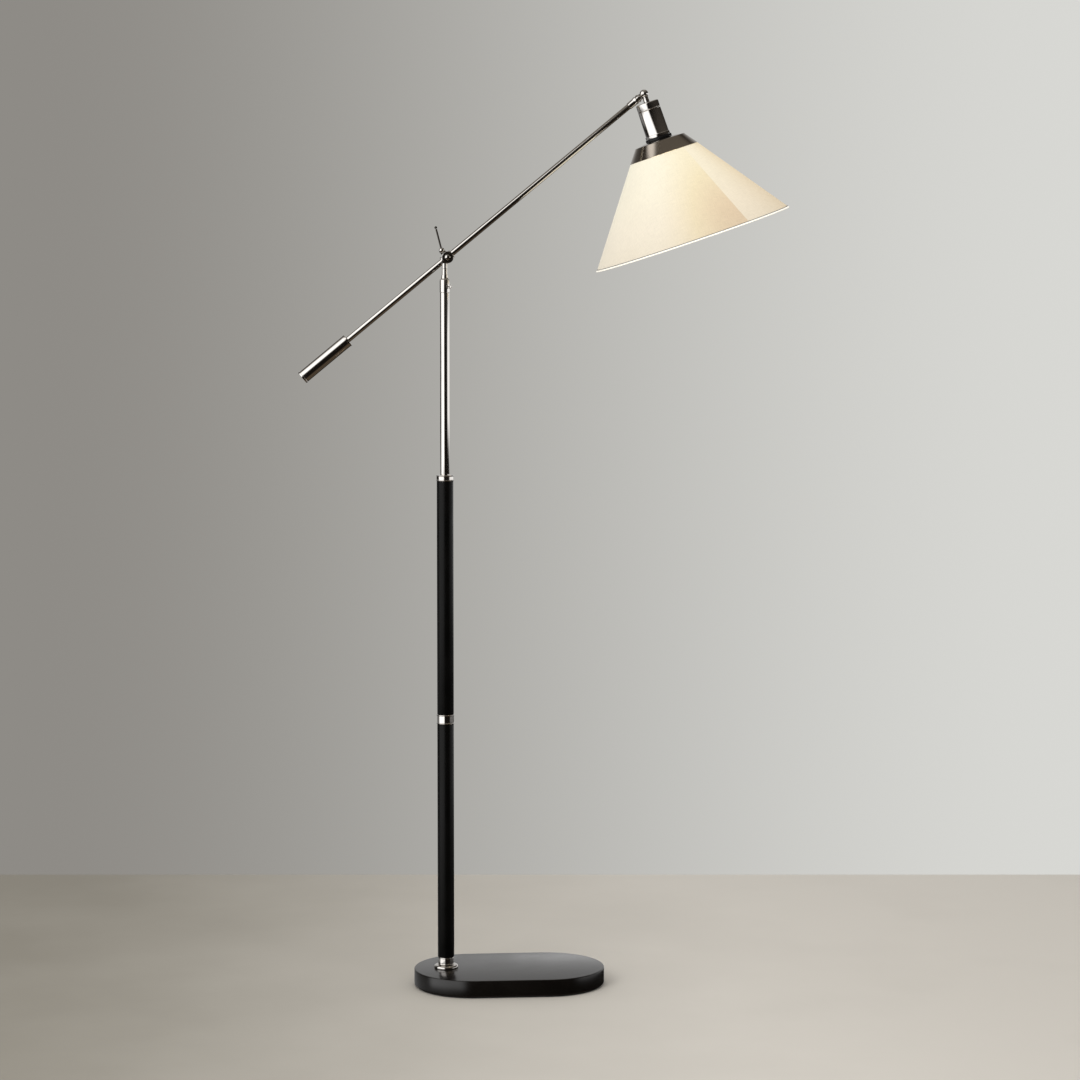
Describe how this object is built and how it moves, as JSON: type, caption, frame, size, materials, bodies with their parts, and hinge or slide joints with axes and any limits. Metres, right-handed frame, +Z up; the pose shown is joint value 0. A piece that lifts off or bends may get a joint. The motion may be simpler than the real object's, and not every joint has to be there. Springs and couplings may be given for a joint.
{
  "type": "pharmacy floor lamp",
  "caption": "Floor lamp with a weighted round-ended base, black stem, plated mast, counterweighted swing arm on a lever clamp, and a cone shade on a tilting head.",
  "frame": {"origin": "where the stem's axis meets the floor, on the underside of the base pad", "axes": "+Z up the stem; +X along the base's long axis, towards the shade end of the arm at rest"},
  "size_m": [0.8289, 0.344, 1.5191],
  "materials": {
    "black_base": "black powder coat over cast iron, semi-gloss",
    "black_stem": "satin black enamel on steel tube",
    "nickel": "polished nickel plate",
    "nickel_brushed": "warm brushed nickel",
    "steel": "zinc-plated steel",
    "brass": "plain brass",
    "black_plastic": "black moulded plastic",
    "pad": "dark foam rubber",
    "ceramic": "unglazed steatite",
    "fabric": "cream linen laminated on a clear backing",
    "rim_tape": "off-white rolled trim tape",
    "white_wire": "white-coated wire",
    "opal_glass": "frosted bulb glass",
    "lead": "insulated flexible lead"
  },
  "bodies": {
    "stand": {"base_plate": "black_base", "base_pad": "pad", "cord_gland": "black_plastic", "stem_washer": "steel", "stem_nut": "steel", "stem_nipple": "steel", "stem_lead": "lead", "base_flange": "nickel", "foot_collar": "nickel", "stem_lower": "black_stem", "stem_coupler": "nickel", "stem_upper": "black_stem", "top_collar": "nickel", "mast_tube": "nickel", "mast_bush": "black_plastic", "mast_cap": "nickel"},
    "thumb_screw": {"thumb_screw": "nickel"},
    "post": {"post_rod": "nickel", "post_bush": "brass", "post_lead": "lead"},
    "swivel": {"swivel_head": "nickel", "friction_washer": "black_plastic", "tilt_bolt": "nickel"},
    "sleeve": {"clamp_sleeve": "nickel", "clamp_nut": "nickel"},
    "lever": {"lever_hub": "nickel", "lever_rod": "nickel", "lever_tip": "nickel"},
    "arm": {"arm_tube": "nickel", "arm_lead": "lead", "counterweight": "nickel", "counterweight_screw": "steel", "arm_ferrule": "nickel"},
    "knuckle": {"knuckle_inner": "nickel", "knuckle_screw": "nickel", "knuckle_nut": "nickel"},
    "head": {"head_neck": "nickel", "socket_cup": "nickel", "cup_nut": "steel", "spacer_ring": "black_plastic", "lampholder_body": "black_plastic", "contact_block": "ceramic", "centre_contact": "brass", "screw_shell": "brass", "head_lead": "lead", "bulb_cap": "brass", "bulb_glass": "opal_glass", "shade_cap": "nickel_brushed", "shade_spider": "white_wire", "ring_nut": "black_plastic", "shade_fabric": "fabric", "rim_tape": "rim_tape", "rim_wire": "white_wire"},
    "switch": {"switch_knob": "black_plastic"}
  },
  "joints": [
    {"name": "thumb_screw_turn", "type": "hinge", "parent": "stand", "child": "thumb_screw", "pos_m": [0, 0, 1.1878], "axis": [0.7071, -0.7071, 0], "range_deg": [0, 540]},
    {"name": "height_slide", "type": "slide", "parent": "stand", "child": "post", "axis": [0, 0, 1], "range_m": [-0.008, 0.2]},
    {"name": "boom_swivel", "type": "hinge", "parent": "post", "child": "swivel", "pos_m": [0, 0, 1.2178], "axis": [0, 0, 1], "range_deg": [-170, 170]},
    {"name": "boom_tilt", "type": "hinge", "parent": "swivel", "child": "sleeve", "pos_m": [0.005, 0.0125, 1.237], "axis": [0, -1, 0], "range_deg": [-55, 25]},
    {"name": "lever_turn", "type": "hinge", "parent": "sleeve", "child": "lever", "pos_m": [-0.00469, 0.001, 1.24871], "axis": [0, -1, 0], "range_deg": [-60, 60]},
    {"name": "arm_slide", "type": "slide", "parent": "sleeve", "child": "arm", "axis": [0.7705, 0, 0.6374], "range_m": [-0.08, 0.08]},
    {"name": "head_roll", "type": "hinge", "parent": "arm", "child": "knuckle", "pos_m": [0.33709, 0.0125, 1.51173], "axis": [0.7705, 0, 0.6374], "range_deg": [-90, 90]},
    {"name": "head_tilt", "type": "hinge", "parent": "knuckle", "child": "head", "pos_m": [0.33709, 0.0125, 1.51173], "axis": [0, -1, 0], "range_deg": [-4, 90]},
    {"name": "switch_turn", "type": "hinge", "parent": "head", "child": "switch", "pos_m": [0.35298, 0.0125, 1.46506], "axis": [0, 1, 0], "range_deg": [0, 90]}
  ]
}
